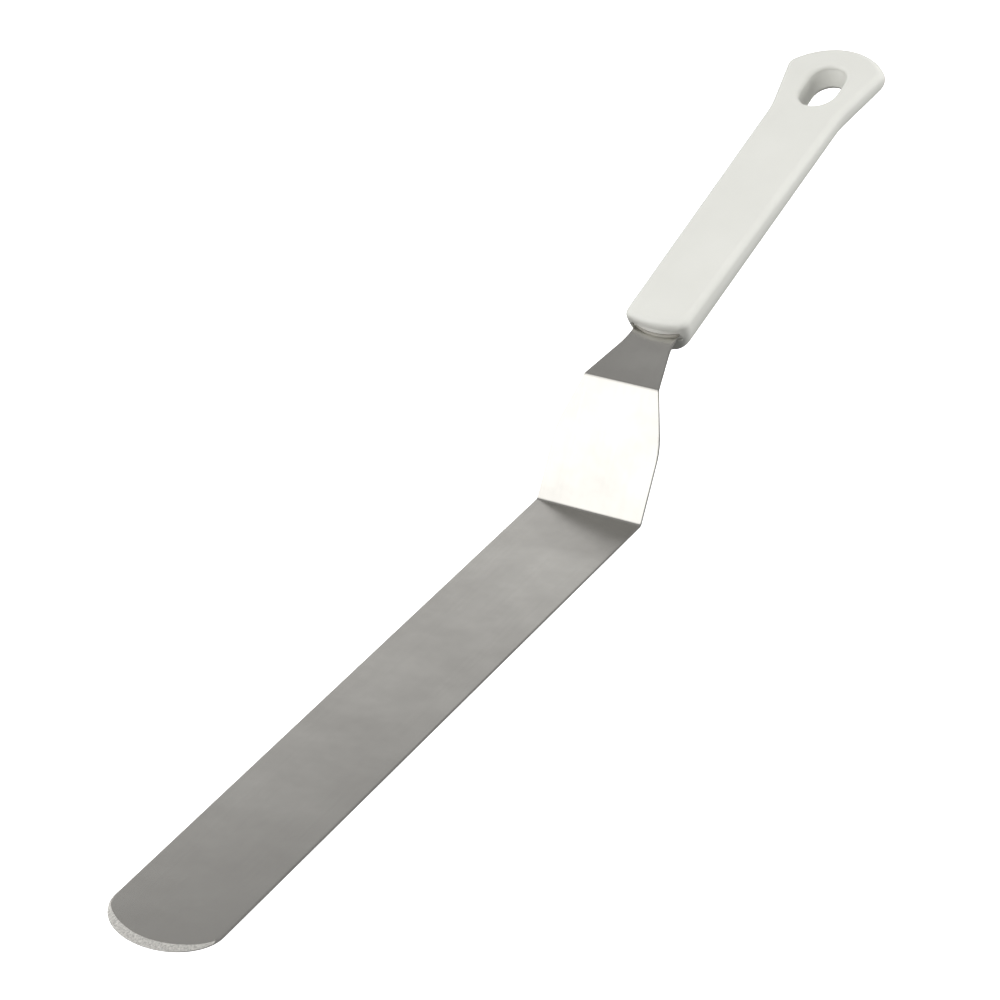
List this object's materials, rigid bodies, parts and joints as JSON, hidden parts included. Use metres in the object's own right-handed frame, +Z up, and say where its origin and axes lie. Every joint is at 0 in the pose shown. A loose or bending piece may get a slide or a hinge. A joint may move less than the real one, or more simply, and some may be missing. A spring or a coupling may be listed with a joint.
{
  "type": "offset spatula",
  "caption": "Offset spatula with a long flat steel blade, a round ground tip, a steep crank and a flared plastic handle with an oval hang hole.",
  "frame": {"origin": "middle of the bounding box at its bottom, on the plane of the blade's underside", "axes": "+X across the blade, +Y from the blade's tip to the handle's tail, +Z up from the surface that the blade rests on"},
  "size_m": [0.0382, 0.3908, 0.0742],
  "materials": {
    "blade_steel": "fine satin, brushed along the blade",
    "core_plastic": "satin moulded",
    "handle_plastic": "satin moulded, warm white"
  },
  "bodies": {
    "root": {"blade": "blade_steel", "tang_core": "core_plastic", "handle_shell": "handle_plastic"}
  },
  "joints": []
}
